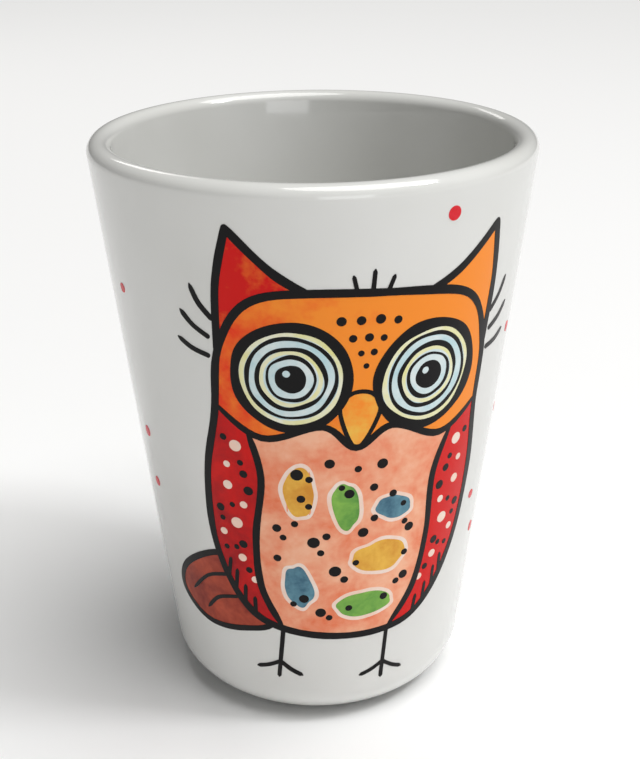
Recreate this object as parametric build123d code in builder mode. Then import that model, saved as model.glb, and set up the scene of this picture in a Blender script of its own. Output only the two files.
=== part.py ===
"""Tapered porcelain shot cup with a full-round lip, a glazed skin and a printed folk-art owl.

Millimetres, +Z up, origin at the centre of the foot. The print faces -Y.
The owl is laid out on the wall rolled out flat: x runs round the wall, y runs up it from the foot plane.
"""
from build123d import *
from math import atan, atan2, cos, hypot, pi, radians, sin, tan
import os

os.makedirs("parts", exist_ok=True)

# ---- driving dimensions -------------------------------------------------------------------------
height = 60.0             # foot plane to the top of the lip
rim_diameter = 45.0       # outer wall line carried up to the lip's top
base_diameter = 30.7      # outer wall line carried down to the foot plane
lip_radius = 1.2          # full-round lip
corner_radius = 5.5       # outer wall into the foot
inner_lean = 7.35         # degrees, inner wall from the vertical
floor_height = 5.0        # inside floor above the foot plane
floor_fillet = 4.5        # inner wall into the floor
glaze = 0.25              # glaze thickness
glaze_end_angle = 18.0    # degrees up the corner arc, where the glaze stops
foot_outer_radius = 10.9  # bare foot ring
foot_inner_radius = 8.7
recess_radius = 8.0
recess_depth = 1.0        # under the foot, to the face of its glaze
ink = 0.05                # ink film thickness
line = 0.8                # heavy brush line of the print
fine_line = 0.45          # legs, toes, cheek strokes and the beak
facet_length = 0.7        # straight runs that stand for a curve in the print

rim_radius, base_radius = rim_diameter / 2, base_diameter / 2
lean = atan((rim_radius - base_radius) / height)   # outer wall from the vertical
inner = radians(inner_lean)

# ---- the cup's section --------------------------------------------------------------------------
outward = Vector(cos(lean), -sin(lean))            # normal of the outer wall, in the section
inward = Vector(-cos(inner), sin(inner))           # normal of the inner wall
downward = Vector(0, -1)

corner_centre = Vector(base_radius - corner_radius * tan(pi / 4 - lean / 2), corner_radius)
lip_height = height - lip_radius
lip_centre = Vector(base_radius + lip_height * tan(lean) - lip_radius / cos(lean), lip_height)
fillet_height = floor_height + floor_fillet
wall_foot = lip_centre + inward * lip_radius       # where the inner wall leaves the lip
fillet_centre = Vector(
    wall_foot.X - (wall_foot.Y - fillet_height) * tan(inner) - floor_fillet / cos(inner), fillet_height
)


def glaze_edge(skin):
    """Point where the surface that lies skin deep in the wall starts, above the bare foot."""
    angle = radians(glaze_end_angle)
    return corner_centre + Vector(sin(angle), -cos(angle)) * (corner_radius - skin)


def skin_lines(skin):
    """Draw the surface that lies skin deep: from the foot, up the wall, over the lip, down to the floor's centre."""
    corner, lip, fillet = corner_radius - skin, lip_radius - skin, floor_fillet + skin
    half_way = (radians(glaze_end_angle) - pi / 2 - lean) / 2
    belly_point = corner_centre + Vector(cos(half_way), sin(half_way)) * corner
    wall_start = corner_centre + outward * corner
    ThreePointArc(glaze_edge(skin), belly_point, wall_start)
    Line(wall_start, lip_centre + outward * lip)
    ThreePointArc(lip_centre + outward * lip, lip_centre - downward * lip, lip_centre + inward * lip)
    Line(lip_centre + inward * lip, fillet_centre - inward * fillet)
    bisector = (downward - inward).normalized()
    ThreePointArc(fillet_centre - inward * fillet, fillet_centre + bisector * fillet, fillet_centre + downward * fillet)
    Line(fillet_centre + downward * fillet, Vector(0, floor_height - skin))


# Fired porcelain body: everything under the glaze, with the bare foot ring and the recess
recess_wall = (foot_inner_radius - recess_radius) / (recess_depth + glaze)
with BuildPart() as porcelain_body:
    with BuildSketch(Plane.XZ):
        with BuildLine():
            skin_lines(glaze)
            Polyline(
                (0, floor_height - glaze), (0, recess_depth + glaze), (recess_radius, recess_depth + glaze),
                (foot_inner_radius, 0), (foot_outer_radius, 0), glaze_edge(glaze),
            )
        make_face()
    revolve(axis=Axis.Z)
porcelain_body.part.label = "porcelain_body"
export_step(porcelain_body.part, "parts/porcelain_body.step")

# Glaze coat: one skin over the outside, the lip, the inside and the floor
with BuildPart() as glaze_coat:
    with BuildSketch(Plane.XZ):
        with BuildLine():
            skin_lines(0)
            skin_lines(glaze)
            Line((0, floor_height), (0, floor_height - glaze))
            Line(glaze_edge(0), glaze_edge(glaze))
        make_face()
    revolve(axis=Axis.Z)
glaze_coat.part.label = "glaze_coat"
export_step(glaze_coat.part, "parts/glaze_coat.step")

# Recess glaze: the pool of glaze inside the foot ring
with BuildPart() as recess_glaze:
    with BuildSketch(Plane.XZ):
        Polygon(
            (0, recess_depth), (recess_radius + recess_wall * glaze, recess_depth),
            (recess_radius, recess_depth + glaze), (0, recess_depth + glaze), align=None,
        )
    revolve(axis=Axis.Z)
recess_glaze.part.label = "recess_glaze"
export_step(recess_glaze.part, "parts/recess_glaze.step")

# ---- the print's layout -------------------------------------------------------------------------
slant = base_radius / sin(lean)                    # foot plane's distance from the cone's apex, along the wall
owl_x, owl_y = 1.9, 12.0                           # middle of the owl's base, on the rolled-out wall
owl_tilt = radians(5.0)                            # leans to the right
owl_middle = 19.0                                  # up from its base
print_bottom, print_top = 4.9, 58.0                # straight stretch of the wall that takes ink
clear_of_wall = 1.0                                # drawing planes stand this far out from the wall


def wall_place(x, y):
    """Angle round the cup from -Y, radius and height of a point of the rolled-out wall."""
    reach = hypot(x, y + slant)
    return atan2(x, y + slant) / sin(lean), reach * sin(lean), (reach - slant) * cos(lean)


def wall_plane(x, y):
    """Plane that touches the wall at a point of the rolled-out wall, with its normal outward."""
    turn, radius, rise = wall_place(x, y)
    normal = Vector(sin(turn) * cos(lean), -cos(turn) * cos(lean), -sin(lean))
    return Plane(
        origin=Vector(radius * sin(turn), -radius * cos(turn), rise),
        x_dir=Vector(cos(turn), sin(turn), 0), z_dir=normal,
    )


owl_touch = wall_plane(owl_x + owl_middle * sin(owl_tilt), owl_y + owl_middle * cos(owl_tilt))
owl_plane = owl_touch.offset(clear_of_wall)        # a plane that touches the wall would spoil the cuts


def at(across, up):
    """Sketch point on the owl's plane, from millimetres across and up the rolled-out owl."""
    x = owl_x + across * cos(owl_tilt) + up * sin(owl_tilt)
    y = owl_y - across * sin(owl_tilt) + up * cos(owl_tilt)
    turn, radius, rise = wall_place(x, y)
    spot = owl_plane.to_local_coords(Vector(radius * sin(turn), -radius * cos(turn), rise))
    return spot.X, spot.Y


def both(points):
    """The points, and the same points mirrored in the owl's axis, in reverse."""
    return points + [(-across, up) for across, up in reversed(points)]


def ring(centre, radius, count=12):
    """Points evenly round a circle of the rolled-out owl, anticlockwise."""
    turns = [2 * pi * step / count for step in range(count)]
    return [(centre[0] + radius * cos(turn), centre[1] + radius * sin(turn)) for turn in turns]


def facets(points, around=False):
    """Points evenly along the smooth line through the given ones, on the owl's plane."""
    path = Spline([at(*point) for point in points], periodic=around, mode=Mode.PRIVATE)
    count = max(2, round(path.length / facet_length))
    return [path @ (step / count) for step in range(count if around else count + 1)]


def closed(points):
    """A face inside a smooth closed line."""
    with BuildSketch(mode=Mode.PRIVATE) as face:
        Polygon(*facets(points, around=True), align=None)
    return face.sketch


def beside(points, shift, around=False):
    """The points moved shift to the left of the line through them."""
    last = len(points) - 1
    moved = []
    for index, (across, up) in enumerate(points):
        before = points[index - 1] if around or index > 0 else points[0]
        after = points[(index + 1) % len(points)] if around or index < last else points[last]
        along, rise = after[0] - before[0], after[1] - before[1]
        length = hypot(along, rise)
        moved.append((across - rise / length * shift, up + along / length * shift))
    return moved


def stroke(points, width=line):
    """A brush line of one width through the points, with round ends."""
    sides = facets(beside(points, width / 2)) + facets(beside(points, -width / 2))[::-1]
    with BuildSketch(mode=Mode.PRIVATE) as face:
        Polygon(*sides, align=None)
        with Locations(at(*points[0]), at(*points[-1])):
            Circle(width / 2)
    return face.sketch


def loop(points, width=line):
    """A brush line of one width that closes on itself."""
    with BuildSketch(mode=Mode.PRIVATE) as face:
        add(closed(beside(points, -width / 2, around=True)))
        add(closed(beside(points, width / 2, around=True)), mode=Mode.SUBTRACT)
    return face.sketch


def dots(places):
    """Round dots, from (across, up, radius)."""
    with BuildSketch(mode=Mode.PRIVATE) as face:
        for across, up, radius in places:
            with Locations(at(across, up)):
                Circle(radius)
    return face.sketch


# ---- the owl, in millimetres across and up from the middle of its base --------------------------
figure_line = both([(4.6, 0.1), (9.6, 2.2), (13.3, 8.5), (14.5, 16.5), (13.9, 24.0), (13.8, 31.0), (11.2, 36.4),
                    (5.2, 38.2)])
face_line = [(-13.9, 25.0), (-9.0, 22.6), (-3.4, 24.6), (0, 22.4), (3.4, 24.6), (9.0, 22.6), (13.9, 25.0)]
wing_line = [(10.4, 23.0), (8.8, 18.0), (8.9, 11.0), (8.0, 5.0), (5.6, 0.6)]
eye_centre, eye_radius, pupil_radius = (6.7, 29.4), 5.3, 1.3
ring_radii, ring_width = (4.3, 3.1, 2.1), 0.35
band_radius, band_width = 3.7, 0.6
ear = [(5.9, 38.35), (13.6, 43.2), (14.3, 30.5)]
beak = both([(1.9, 26.2), (1.0, 28.2)]) + [(0, 22.4)]
tail = [(-9.6, 7.6), (-13.6, 7.0), (-17.6, 3.0), (-18.2, -0.6), (-14.4, -2.4), (-9.6, -1.2), (-6.4, 1.2)]
leg_across, leg_top, ankle = 5.4, 0.4, -4.2
toes = [(-2.4, -5.6), (0.0, -6.3), (2.4, -5.6)]
cheek_strokes = [[(14.8, 30.0), (18.2, 30.8)], [(14.9, 32.0), (18.0, 33.8)], [(14.6, 34.0), (17.0, 36.8)]]
patches = {   # (across, up, half width, half height, turn in degrees)
    "yellow": [(-5.0, 17.0, 1.5, 2.7, 6.0), (3.6, 9.6, 2.9, 1.8, 7.0)],
    "green": [(-0.4, 15.8, 1.3, 2.8, 8.0), (2.6, 3.8, 3.0, 1.4, 6.0)],
    "blue": [(4.6, 15.2, 1.9, 1.3, -12.0), (-4.2, 5.8, 1.4, 2.5, 18.0)],
}
brow_top, brow_step, brow_reach, brow_taper, brow_dot = 35.4, 1.7, 2.4, 0.8, 0.38
brow_dots = [(side * (brow_reach - brow_taper * row), brow_top - brow_step * row, brow_dot)
             for row in range(3) for side in (-1, 0, 1)]
belly_dots = [(-2.4, 20.6, 0.5), (2.8, 20.4, 0.55), (-7.0, 12.6, 0.45), (-3.2, 11.4, 0.6), (1.6, 12.8, 0.5),
              (6.8, 12.4, 0.5), (-0.8, 7.6, 0.6), (-6.6, 9.4, 0.4), (6.6, 6.4, 0.5), (-1.8, 2.6, 0.5)]
wing_dots = [(11.6, 21.0, 0.62), (12.2, 16.2, 0.5), (11.0, 12.0, 0.62), (11.4, 7.8, 0.45), (9.8, 4.4, 0.42)]
wing_specks = [(10.6, 18.0, 0.42), (12.4, 13.4, 0.45), (10.2, 9.6, 0.42), (12.9, 21.6, 0.36)]
loose_dots = [(13.2, 56.4, 0.7), (-21.0, 30.1, 0.6), (-20.1, 24.3, 0.55), (19.6, 22.6, 0.5), (21.0, 17.4, 0.6),
              (-22.4, 46.0, 0.5), (25.0, 40.0, 0.55), (-26.0, 18.0, 0.6), (27.0, 29.0, 0.5)]

figure, beyond = closed(figure_line), 30.0
with BuildSketch(mode=Mode.PRIVATE) as above_face:
    brim = facets(face_line)
    Polygon(*brim, (beyond, brim[-1].Y), (beyond, beyond), (-beyond, beyond), (-beyond, brim[0].Y), align=None)

with BuildSketch(mode=Mode.PRIVATE) as beside_wing_lines:
    for side in (-1, 1):
        hem = facets([(side * across, up) for across, up in wing_line])
        Polygon(*hem, (hem[-1].X, -beyond), (side * beyond, -beyond), (side * beyond, beyond), (hem[0].X, beyond),
                align=None)

with BuildSketch(mode=Mode.PRIVATE) as ear_area:
    for side in (-1, 1):
        Polygon(*[at(side * across, up) for across, up in ear], align=None)
    add(figure, mode=Mode.SUBTRACT)

with BuildSketch(mode=Mode.PRIVATE) as eye_area:
    for side in (-1, 1):
        add(closed(ring((side * eye_centre[0], eye_centre[1]), eye_radius)))

with BuildSketch(mode=Mode.PRIVATE) as drawn_lines:
    add(loop(figure_line))
    add(stroke(face_line))
    for side in (-1, 1):
        mirrored = [(side * across, up) for across, up in wing_line]
        add(stroke(mirrored))
        add(loop(ring((side * eye_centre[0], eye_centre[1]), eye_radius)))
        corner, tip, outer = [(side * across, up) for across, up in ear]
        add(stroke([corner, tip]))
        add(stroke([tip, outer]))
        add(stroke([(side * leg_across, leg_top), (side * leg_across, ankle)], fine_line))
        for across, up in toes:
            add(stroke([(side * leg_across, ankle), (side * leg_across + across, up)], fine_line))
        for start, end in cheek_strokes:
            add(stroke([(side * start[0], start[1]), (side * end[0], end[1])], fine_line))
    add(stroke(tail))
    add(loop(beak, fine_line))

with BuildSketch(mode=Mode.PRIVATE) as eye_rings:
    for side in (-1, 1):
        for radius in ring_radii:
            add(loop(ring((side * eye_centre[0], eye_centre[1]), radius), ring_width))

with BuildSketch(mode=Mode.PRIVATE) as eye_bands:
    for side in (-1, 1):
        add(loop(ring((side * eye_centre[0], eye_centre[1]), band_radius), band_width))

pupils = dots([(side * eye_centre[0], eye_centre[1], pupil_radius) for side in (-1, 1)])
black_dots = dots(brow_dots + belly_dots + [(side * across, up, size) for side in (-1, 1)
                                            for across, up, size in wing_specks])
white_dots = dots([(side * across, up, size) for side in (-1, 1) for across, up, size in wing_dots])


def patch(name):
    """The belly's patches of one colour."""
    with BuildSketch(mode=Mode.PRIVATE) as ovals:
        for across, up, half_width, half_height, turn in patches[name]:
            with Locations(at(across, up)):
                Ellipse(half_width, half_height, rotation=turn)
        add(black_dots, mode=Mode.SUBTRACT)
    return ovals.sketch


# ---- the ink films: each is the stretch of the ink layer that its outline covers -----------------
with BuildPart(mode=Mode.PRIVATE) as ink_layer:   # its seam is at the back, away from the print
    with BuildSketch(Plane.YZ):
        low, high = [base_radius + rise * tan(lean) for rise in (print_bottom, print_top)]
        lift = ink / cos(lean)
        Polygon((low, print_bottom), (low + lift, print_bottom), (high + lift, print_top), (high, print_top),
                align=None)
    revolve(axis=Axis.Z)


def press(reach=17.0):
    """Carry the outline inward through the wall's front and keep what lies in the ink layer."""
    extrude(amount=-reach)
    add(ink_layer.part, mode=Mode.INTERSECT)


# Black brush lines: outlines, wing, face and tail lines, legs, toes and cheek strokes
with BuildPart() as print_black_lines:
    with BuildSketch(owl_plane):
        add(drawn_lines.sketch)
    press()
print_black_lines.part.label = "print_black_lines"
export_step(print_black_lines.part, "parts/print_black_lines.step")

# Orange head
with BuildPart() as print_head_orange:
    with BuildSketch(owl_plane):
        add(figure)
        add(above_face.sketch, mode=Mode.INTERSECT)
        for cutter in (drawn_lines.sketch, eye_area.sketch, closed(beak), black_dots):
            add(cutter, mode=Mode.SUBTRACT)
    press()
print_head_orange.part.label = "print_head_orange"
export_step(print_head_orange.part, "parts/print_head_orange.step")

# Red ear tufts
with BuildPart() as print_ears_red:
    with BuildSketch(owl_plane):
        add(ear_area.sketch)
        add(drawn_lines.sketch, mode=Mode.SUBTRACT)
    press()
print_ears_red.part.label = "print_ears_red"
export_step(print_ears_red.part, "parts/print_ears_red.step")

# Red wings
with BuildPart() as print_wings_red:
    with BuildSketch(owl_plane):
        add(figure)
        add(beside_wing_lines.sketch, mode=Mode.INTERSECT)
        for cutter in (above_face.sketch, drawn_lines.sketch, eye_area.sketch, white_dots, black_dots):
            add(cutter, mode=Mode.SUBTRACT)
    press()
print_wings_red.part.label = "print_wings_red"
export_step(print_wings_red.part, "parts/print_wings_red.step")

# Peach belly, around its coloured patches
with BuildPart() as print_belly_peach:
    with BuildSketch(owl_plane):
        add(figure)
        for cutter in (above_face.sketch, beside_wing_lines.sketch, drawn_lines.sketch, black_dots,
                       patch("yellow"), patch("green"), patch("blue")):
            add(cutter, mode=Mode.SUBTRACT)
    press()
print_belly_peach.part.label = "print_belly_peach"
export_step(print_belly_peach.part, "parts/print_belly_peach.step")

# Yellow belly patches
with BuildPart() as print_patches_yellow:
    with BuildSketch(owl_plane):
        add(patch("yellow"))
    press()
print_patches_yellow.part.label = "print_patches_yellow"
export_step(print_patches_yellow.part, "parts/print_patches_yellow.step")

# Green belly patches
with BuildPart() as print_patches_green:
    with BuildSketch(owl_plane):
        add(patch("green"))
    press()
print_patches_green.part.label = "print_patches_green"
export_step(print_patches_green.part, "parts/print_patches_green.step")

# Blue belly patches
with BuildPart() as print_patches_blue:
    with BuildSketch(owl_plane):
        add(patch("blue"))
    press()
print_patches_blue.part.label = "print_patches_blue"
export_step(print_patches_blue.part, "parts/print_patches_blue.step")

# White of the eyes
with BuildPart() as print_eye_whites:
    with BuildSketch(owl_plane):
        add(eye_area.sketch)
        for cutter in (drawn_lines.sketch, eye_rings.sketch, eye_bands.sketch, pupils):
            add(cutter, mode=Mode.SUBTRACT)
    press()
print_eye_whites.part.label = "print_eye_whites"
export_step(print_eye_whites.part, "parts/print_eye_whites.step")

# Pale blue bands of the eyes
with BuildPart() as print_eye_bands:
    with BuildSketch(owl_plane):
        add(eye_bands.sketch)
    press()
print_eye_bands.part.label = "print_eye_bands"
export_step(print_eye_bands.part, "parts/print_eye_bands.step")

# Black rings of the eyes
with BuildPart() as print_eye_rings:
    with BuildSketch(owl_plane):
        add(eye_rings.sketch)
    press()
print_eye_rings.part.label = "print_eye_rings"
export_step(print_eye_rings.part, "parts/print_eye_rings.step")

# Pupils
with BuildPart() as print_pupils:
    with BuildSketch(owl_plane):
        add(pupils)
    press()
print_pupils.part.label = "print_pupils"
export_step(print_pupils.part, "parts/print_pupils.step")

# Beak
with BuildPart() as print_beak:
    with BuildSketch(owl_plane):
        add(closed(beak))
        add(drawn_lines.sketch, mode=Mode.SUBTRACT)
    press()
print_beak.part.label = "print_beak"
export_step(print_beak.part, "parts/print_beak.step")

# Brown tail
with BuildPart() as print_tail_brown:
    with BuildSketch(owl_plane):
        add(closed(tail))
        add(figure, mode=Mode.SUBTRACT)
        add(drawn_lines.sketch, mode=Mode.SUBTRACT)
    press()
print_tail_brown.part.label = "print_tail_brown"
export_step(print_tail_brown.part, "parts/print_tail_brown.step")

# Black dots of the brow, the belly and the wings
with BuildPart() as print_dots_black:
    with BuildSketch(owl_plane):
        add(black_dots)
        add(drawn_lines.sketch, mode=Mode.SUBTRACT)
    press()
print_dots_black.part.label = "print_dots_black"
export_step(print_dots_black.part, "parts/print_dots_black.step")

# Pale dots of the wings
with BuildPart() as print_dots_white:
    with BuildSketch(owl_plane):
        add(white_dots)
        add(drawn_lines.sketch, mode=Mode.SUBTRACT)
    press()
print_dots_white.part.label = "print_dots_white"
export_step(print_dots_white.part, "parts/print_dots_white.step")

# Pink dots scattered round the owl, each pressed square to the wall at its own place
with BuildPart() as print_dots_pink:
    for x, y, radius in loose_dots:
        with BuildSketch(wall_plane(x, y).offset(clear_of_wall)):
            Circle(radius)
    press(2 * clear_of_wall)
print_dots_pink.part.label = "print_dots_pink"
export_step(print_dots_pink.part, "parts/print_dots_pink.step")
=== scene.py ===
"""Porcelain shot cup: a glazed tapered cup with a folk-art owl painted and fired on its wall.

The cup's glaze is a section turned about the axis. The owl is drawn in millimetres on the wall rolled out
flat, cut into washes and brush lines, and then wrapped round the tapered wall.
"""
from math import atan, atan2, cos, floor, hypot, pi, radians, sin, tan

import bpy
from bpy.props import FloatProperty, FloatVectorProperty, IntProperty, PointerProperty
from mathutils import Euler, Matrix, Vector, noise
from mathutils.geometry import delaunay_2d_cdt


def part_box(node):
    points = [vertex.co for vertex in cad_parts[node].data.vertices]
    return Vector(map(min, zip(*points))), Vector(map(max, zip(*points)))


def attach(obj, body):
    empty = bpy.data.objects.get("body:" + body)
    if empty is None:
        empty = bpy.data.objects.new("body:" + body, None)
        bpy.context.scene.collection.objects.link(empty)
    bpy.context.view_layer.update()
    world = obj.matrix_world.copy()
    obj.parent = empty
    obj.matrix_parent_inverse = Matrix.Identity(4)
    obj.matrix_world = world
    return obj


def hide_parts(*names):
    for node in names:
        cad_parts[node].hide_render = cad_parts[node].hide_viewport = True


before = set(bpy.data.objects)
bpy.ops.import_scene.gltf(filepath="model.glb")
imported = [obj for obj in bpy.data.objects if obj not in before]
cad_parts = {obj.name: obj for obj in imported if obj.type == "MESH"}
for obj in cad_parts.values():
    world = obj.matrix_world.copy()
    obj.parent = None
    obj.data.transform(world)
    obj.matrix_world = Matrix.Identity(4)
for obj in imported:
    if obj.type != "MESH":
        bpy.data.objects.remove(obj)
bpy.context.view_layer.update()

bl_info = {
    "name": "Painted Shot Cup",
    "version": (1, 0, 0),
    "blender": (4, 5, 0),
    "location": "3D View > Sidebar > Shot Cup",
    "description": "Builds a glazed porcelain shot cup with a painted owl around its CAD frame",
    "category": "Add Mesh",
}

MM = 0.001
lip_reach, _, cup_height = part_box("glaze_coat")[1]
ROOT = "root"


# ---- settings -----------------------------------------------------------------------------------
def length(name, description, default):
    """A size in metres."""
    return FloatProperty(name=name, description=description, default=default, unit="LENGTH",
                         subtype="DISTANCE")


def angle(name, description, degrees):
    """An angle, given in degrees and held in radians."""
    return FloatProperty(name=name, description=description, default=radians(degrees), unit="ROTATION",
                         subtype="ANGLE")


def colour(name, description, default):
    """A linear colour."""
    return FloatVectorProperty(name=name, description=description, default=default, size=3, subtype="COLOR",
                               min=0.0, max=1.0)


def srgb(red, green, blue):
    """Linear colour from 0-255 display values."""
    return tuple(((value / 255 + 0.055) / 1.055) ** 2.4 if value > 10 else value / 255 / 12.92
                 for value in (red, green, blue))


class CupSizes(bpy.types.PropertyGroup):
    base_radius: length("Base radius", "Outer wall line carried down to the foot plane", 15.35 * MM)
    rim_radius: length("Rim radius", "Outer wall line carried up to the lip's top", 22.5 * MM)
    lip_radius: length("Lip radius", "Full-round lip", 1.2 * MM)
    corner_radius: length("Corner radius", "Outer wall into the foot", 5.5 * MM)
    floor_height: length("Floor height", "Inside floor above the foot plane", 5.0 * MM)
    floor_fillet: length("Floor fillet", "Inner wall into the floor", 4.5 * MM)
    glaze: length("Glaze", "Glaze thickness", 0.25 * MM)
    inner_lean: angle("Inner lean", "Inner wall from the vertical", 7.35)
    glaze_end: angle("Glaze end", "Angle up the corner where the glaze stops", 18.0)
    turns: IntProperty(name="Turns", description="Steps round the cup", default=256, min=32, max=512)


class PrintSizes(bpy.types.PropertyGroup):
    owl_x: length("Owl across", "Middle of the owl's base, round the wall from the front", 1.9 * MM)
    owl_y: length("Owl up", "Middle of the owl's base, up the wall from the foot plane", 12.0 * MM)
    owl_tilt: angle("Owl tilt", "How far the owl leans to the right", 5.0)
    line: length("Brush line", "Width of a heavy brush line", 0.82 * MM)
    fine: length("Fine line", "Width of a fine brush line", 0.42 * MM)
    strip: length("Strip", "Width of the strips in which the ink bends round the wall", 0.9 * MM)


class InkColours(bpy.types.PropertyGroup):
    black: colour("Black", "Brush lines, dots and pupils", srgb(9, 7, 9))
    red: colour("Red", "Ear tufts and wings", srgb(214, 14, 10))
    # Deep red is also painted shade: the wing wash leans to it on the cup's left and lower side.
    red_deep: colour("Deep red", "Where the red wash gathers", srgb(150, 4, 16))
    # Orange is also painted light for the ear tufts: the ear wash leans to it on the cup's lit right.
    orange: colour("Orange", "Head", srgb(253, 146, 46))
    # Deep orange is also painted shade: the head wash leans to it on the cup's left.
    orange_deep: colour("Deep orange", "Where the orange wash gathers", srgb(240, 62, 22))
    peach: colour("Peach", "Belly", srgb(250, 188, 154))
    # Coral is also faint painted shade: the belly wash leans to it towards the bottom.
    peach_deep: colour("Coral", "Where the peach wash gathers", srgb(236, 112, 68))
    yellow: colour("Yellow", "Belly patches and beak", srgb(244, 196, 84))
    yellow_deep: colour("Ochre", "Where the yellow wash gathers", srgb(216, 146, 52))
    green: colour("Green", "Belly patches", srgb(140, 190, 84))
    green_deep: colour("Deep green", "Where the green wash gathers", srgb(84, 144, 66))
    blue: colour("Blue", "Belly patches", srgb(108, 156, 172))
    blue_deep: colour("Deep blue", "Where the blue wash gathers", srgb(54, 92, 116))
    brown: colour("Brown", "Tail", srgb(196, 84, 56))
    brown_deep: colour("Deep brown", "Where the brown wash gathers", srgb(122, 38, 30))
    pale: colour("Pale", "Eyes, halos and pale dots", srgb(244, 246, 242))
    pale_blue: colour("Pale blue", "Bands of the eyes", srgb(168, 212, 222))
    pale_yellow: colour("Pale yellow", "Outer bands of the eyes", srgb(232, 226, 128))
    pink: colour("Pink", "Loose dots", srgb(232, 64, 84))


class StageSettings(bpy.types.PropertyGroup):
    focal_length: FloatProperty(name="Focal length", description="Camera lens", default=63.6, unit="CAMERA")
    distance: length("Camera distance", "From the point that the camera looks at", 143.6 * MM)
    target_height: length("Target height", "Height of the point that the camera looks at", 33.1 * MM)
    elevation: angle("Elevation", "Camera above the horizon", 22.73)
    roll: angle("Roll", "Camera turned about its line of sight", -0.54)
    shift: FloatProperty(name="Shift", description="Camera shifted to the right, in frame heights",
                         default=0.0066)
    floor_size: length("Floor", "Width of the floor", 6.0)
    floor_colour: colour("Floor colour", "Plain pale floor", srgb(250, 250, 250))


# ---- nodes --------------------------------------------------------------------------------------
class Wire:
    """A socket of a node tree. Arithmetic on wires adds the Math nodes that it stands for."""

    def __init__(self, board, socket):
        self.board, self.socket = board, socket

    def maths(self, operation, *values):
        node = self.board.add("ShaderNodeMath", {"operation": operation}, dict(enumerate(values)))
        return Wire(self.board, node.outputs[0])

    def __add__(self, other):
        return self.maths("ADD", self, other)

    def __radd__(self, other):
        return self.maths("ADD", other, self)

    def __sub__(self, other):
        return self.maths("SUBTRACT", self, other)

    def __mul__(self, other):
        return self.maths("MULTIPLY", self, other)

    def __rmul__(self, other):
        return self.maths("MULTIPLY", other, self)

    def __truediv__(self, other):
        return self.maths("DIVIDE", self, other)

    def __mod__(self, other):
        return self.maths("FLOORED_MODULO", self, other)

    def __lt__(self, other):
        return self.maths("LESS_THAN", self, other)

    def floor(self):
        return self.maths("FLOOR", self)

    def sin(self):
        return self.maths("SINE", self)

    def cos(self):
        return self.maths("COSINE", self)

    def root(self):
        return self.maths("SQRT", self)

    def turn_to(self, other):
        return self.maths("ARCTAN2", self, other)


class Board:
    """A node tree and the ways to add to it."""

    def __init__(self, tree):
        self.tree = tree

    def add(self, kind, settings=None, sockets=None):
        """Add a node: its settings first, then the values or wires of its input sockets."""
        node = self.tree.nodes.new(kind)
        for name, value in (settings or {}).items():
            setattr(node, name, value)
        for name, value in (sockets or {}).items():
            if isinstance(value, Wire):
                self.tree.links.new(value.socket, node.inputs[name])
            else:
                node.inputs[name].default_value = value
        return node

    def wire(self, kind, output, settings=None, sockets=None):
        """Add a node and give the wire of one of its outputs."""
        return Wire(self, self.add(kind, settings, sockets).outputs[output])

    def ramp(self, value, stops):
        """A colour ramp over a wire, from (position, colour) stops."""
        node = self.add("ShaderNodeValToRGB", None, {0: value})
        elements = node.color_ramp.elements
        for _ in stops[2:]:
            elements.new(1.0)
        for element, (position, shade) in zip(elements, stops):
            element.position, element.color = position, (*shade, 1.0)
        return Wire(self, node.outputs["Color"])

    def mix(self, factor, first, second):
        """Colour between two others."""
        node = self.add("ShaderNodeMix", {"data_type": "RGBA"}, {0: factor})
        for socket, value in ((node.inputs[6], first), (node.inputs[7], second)):
            if isinstance(value, Wire):
                self.tree.links.new(value.socket, socket)
            else:
                socket.default_value = (*value, 1.0)
        return Wire(self, node.outputs[2])


def geometry_tree(name, inputs):
    """A Geometry Nodes tree with a geometry in and out and named inputs, as (board, wires by name)."""
    tree = bpy.data.node_groups.new(name, "GeometryNodeTree")
    tree.interface.new_socket("Geometry", in_out="INPUT", socket_type="NodeSocketGeometry")
    tree.interface.new_socket("Geometry", in_out="OUTPUT", socket_type="NodeSocketGeometry")
    for label, kind in inputs.items():
        tree.interface.new_socket(label, in_out="INPUT", socket_type=f"NodeSocket{kind}")
    board = Board(tree)
    entry = board.add("NodeGroupInput")
    return board, {socket.name: Wire(board, socket) for socket in entry.outputs if socket.name}


def hand_over(board, geometry, finish):
    """End a tree: realized, with its material set."""
    real = board.wire("GeometryNodeRealizeInstances", 0, None, {0: geometry})
    done = board.wire("GeometryNodeSetMaterial", 0, None, {"Geometry": real, "Material": finish})
    board.add("NodeGroupOutput", None, {0: done})
    return board.tree


def grow(name, mesh, tree, values):
    """Run a tree over a mesh and give the result as a plain mesh object at the origin."""
    piece = bpy.data.objects.new(name, mesh)
    bpy.context.scene.collection.objects.link(piece)
    modifier = piece.modifiers.new("Shape", "NODES")
    modifier.node_group = tree
    for item in tree.interface.items_tree:
        if item.item_type == "SOCKET" and item.in_out == "INPUT" and item.name in values:
            modifier[item.identifier] = values[item.name]
    graph = bpy.context.evaluated_depsgraph_get()
    result = bpy.data.meshes.new_from_object(piece.evaluated_get(graph))
    piece.modifiers.remove(modifier)
    piece.data = result
    result.name = name
    bpy.data.meshes.remove(mesh)
    return piece


# ---- materials ----------------------------------------------------------------------------------
def surface(name, roughness, coat=0.0):
    """A new material, as (material, board, shader node)."""
    material = bpy.data.materials.new(name)
    material.use_nodes = True
    board = Board(material.node_tree)
    shader = material.node_tree.nodes["Principled BSDF"]
    shader.inputs["Roughness"].default_value = roughness
    shader.inputs["Coat Weight"].default_value = coat
    shader.inputs["Coat Roughness"].default_value = 0.04
    return material, board, shader


def feed(board, shader, socket, wire):
    """Link a wire to a socket of the shader."""
    board.tree.links.new(wire.socket, shader.inputs[socket])


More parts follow.
